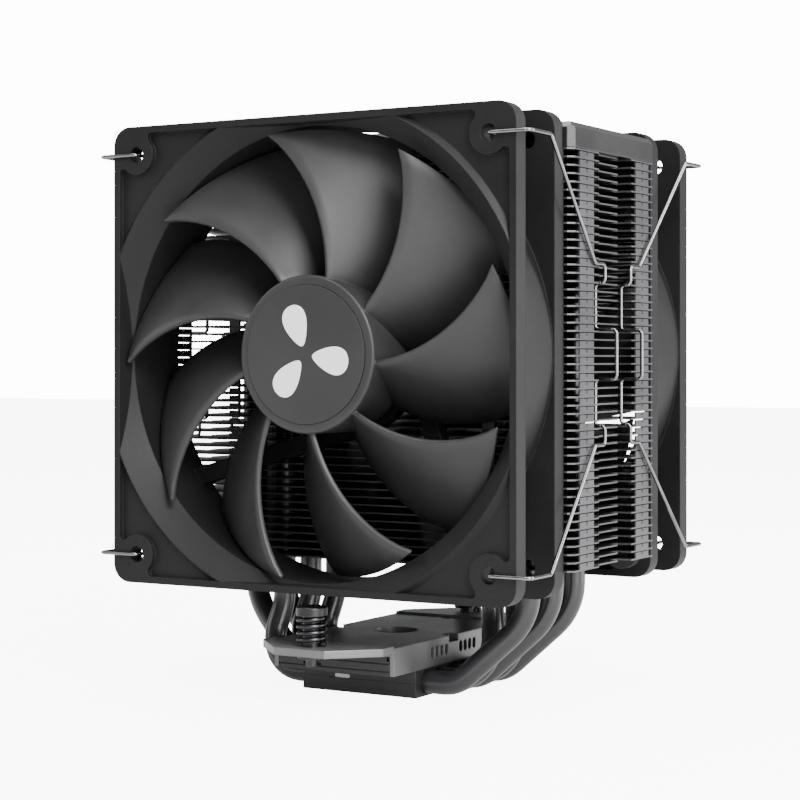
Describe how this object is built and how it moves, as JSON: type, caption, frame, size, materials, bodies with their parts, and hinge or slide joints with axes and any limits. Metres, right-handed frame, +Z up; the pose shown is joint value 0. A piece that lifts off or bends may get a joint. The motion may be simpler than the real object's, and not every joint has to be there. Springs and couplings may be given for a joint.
{
  "type": "CPU tower cooler",
  "caption": "Black tower heatsink with bent heat pipes and a round-vented fan clipped to the front and to the rear, on a cold plate with a sprung mounting crossbar.",
  "frame": {"origin": "centre of the cold plate's contact face", "axes": "+Z up along the fin stack, +Y from the front fan through the stack to the rear fan, +X to the right seen from the front fan"},
  "size_m": [0.1338, 0.106, 0.1499],
  "materials": {
    "base_black": "satin",
    "pipe_black": "glossy",
    "fin_black": "black anodised, satin",
    "cover_black": "glossy",
    "fan_plastic": "matte",
    "blade_plastic": "satin",
    "badge_grey": "satin",
    "pad_rubber": "matte",
    "spring_wire": "polished",
    "spreader_black": "black anodised, satin",
    "steel": "satin",
    "bronze": "satin",
    "copper": "satin",
    "board_green": "matte",
    "magnet": "matte"
  },
  "bodies": {
    "heatsink": {"cold_plate": "base_black", "pipe_block": "base_black", "spreader": "spreader_black", "lock_keys": "steel", "crossbar": "base_black", "bridge_pins": "steel", "pipe_1": "pipe_black", "pipe_2": "pipe_black", "pipe_3": "pipe_black", "pipe_4": "pipe_black", "pipe_5": "pipe_black", "fins": "fin_black", "top_cover": "cover_black", "rear_pads": "pad_rubber", "front_frame": "fan_plastic", "front_bearing": "bronze", "front_stator": "steel", "front_windings": "copper", "front_board": "board_green", "front_rating": "badge_grey", "rear_frame": "fan_plastic", "rear_bearing": "bronze", "rear_stator": "steel", "rear_windings": "copper", "rear_board": "board_green", "rear_rating": "badge_grey"},
    "front_impeller": {"front_rotor": "blade_plastic", "front_badge": "badge_grey", "front_magnet": "magnet", "front_shaft": "steel"},
    "rear_impeller": {"rear_rotor": "blade_plastic", "rear_badge": "badge_grey", "rear_magnet": "magnet", "rear_shaft": "steel"},
    "front_left_clip": {"clip_front_left": "spring_wire"},
    "front_right_clip": {"clip_front_right": "spring_wire"},
    "rear_left_clip": {"clip_rear_left": "spring_wire"},
    "rear_right_clip": {"clip_rear_right": "spring_wire"},
    "front_screw": {"screw_front": "steel", "ring_front": "steel", "spring_front": "steel"},
    "rear_screw": {"screw_rear": "steel", "ring_rear": "steel", "spring_rear": "steel"}
  },
  "joints": [
    {"name": "front_spin", "type": "hinge", "parent": "heatsink", "child": "front_impeller", "pos_m": [0, -0.03215, 0.0884], "axis": [0, 1, 0], "continuous": true},
    {"name": "rear_spin", "type": "hinge", "parent": "heatsink", "child": "rear_impeller", "pos_m": [0, 0.04585, 0.0884], "axis": [0, 1, 0], "continuous": true},
    {"name": "front_left_release", "type": "hinge", "parent": "heatsink", "child": "front_left_clip", "pos_m": [-0.0525, -0.04525, 0.0884], "axis": [0, 0, 1], "range_deg": [0, 25]},
    {"name": "front_right_release", "type": "hinge", "parent": "heatsink", "child": "front_right_clip", "pos_m": [0.0525, -0.04525, 0.0884], "axis": [0, 0, -1], "range_deg": [0, 25]},
    {"name": "rear_left_release", "type": "hinge", "parent": "heatsink", "child": "rear_left_clip", "pos_m": [-0.0525, 0.05894, 0.0884], "axis": [0, 0, -1], "range_deg": [0, 25]},
    {"name": "rear_right_release", "type": "hinge", "parent": "heatsink", "child": "rear_right_clip", "pos_m": [0.0525, 0.05894, 0.0884], "axis": [0, 0, 1], "range_deg": [0, 25]},
    {"name": "front_screw_press", "type": "slide", "parent": "heatsink", "child": "front_screw", "axis": [0, 0, -1], "range_m": [0, 0.004], "stiffness_N_per_m": 1500, "springref_m": -0.002, "deforming": ["spring_front"]},
    {"name": "rear_screw_press", "type": "slide", "parent": "heatsink", "child": "rear_screw", "axis": [0, 0, -1], "range_m": [0, 0.004], "stiffness_N_per_m": 1500, "springref_m": -0.002, "deforming": ["spring_rear"]}
  ]
}
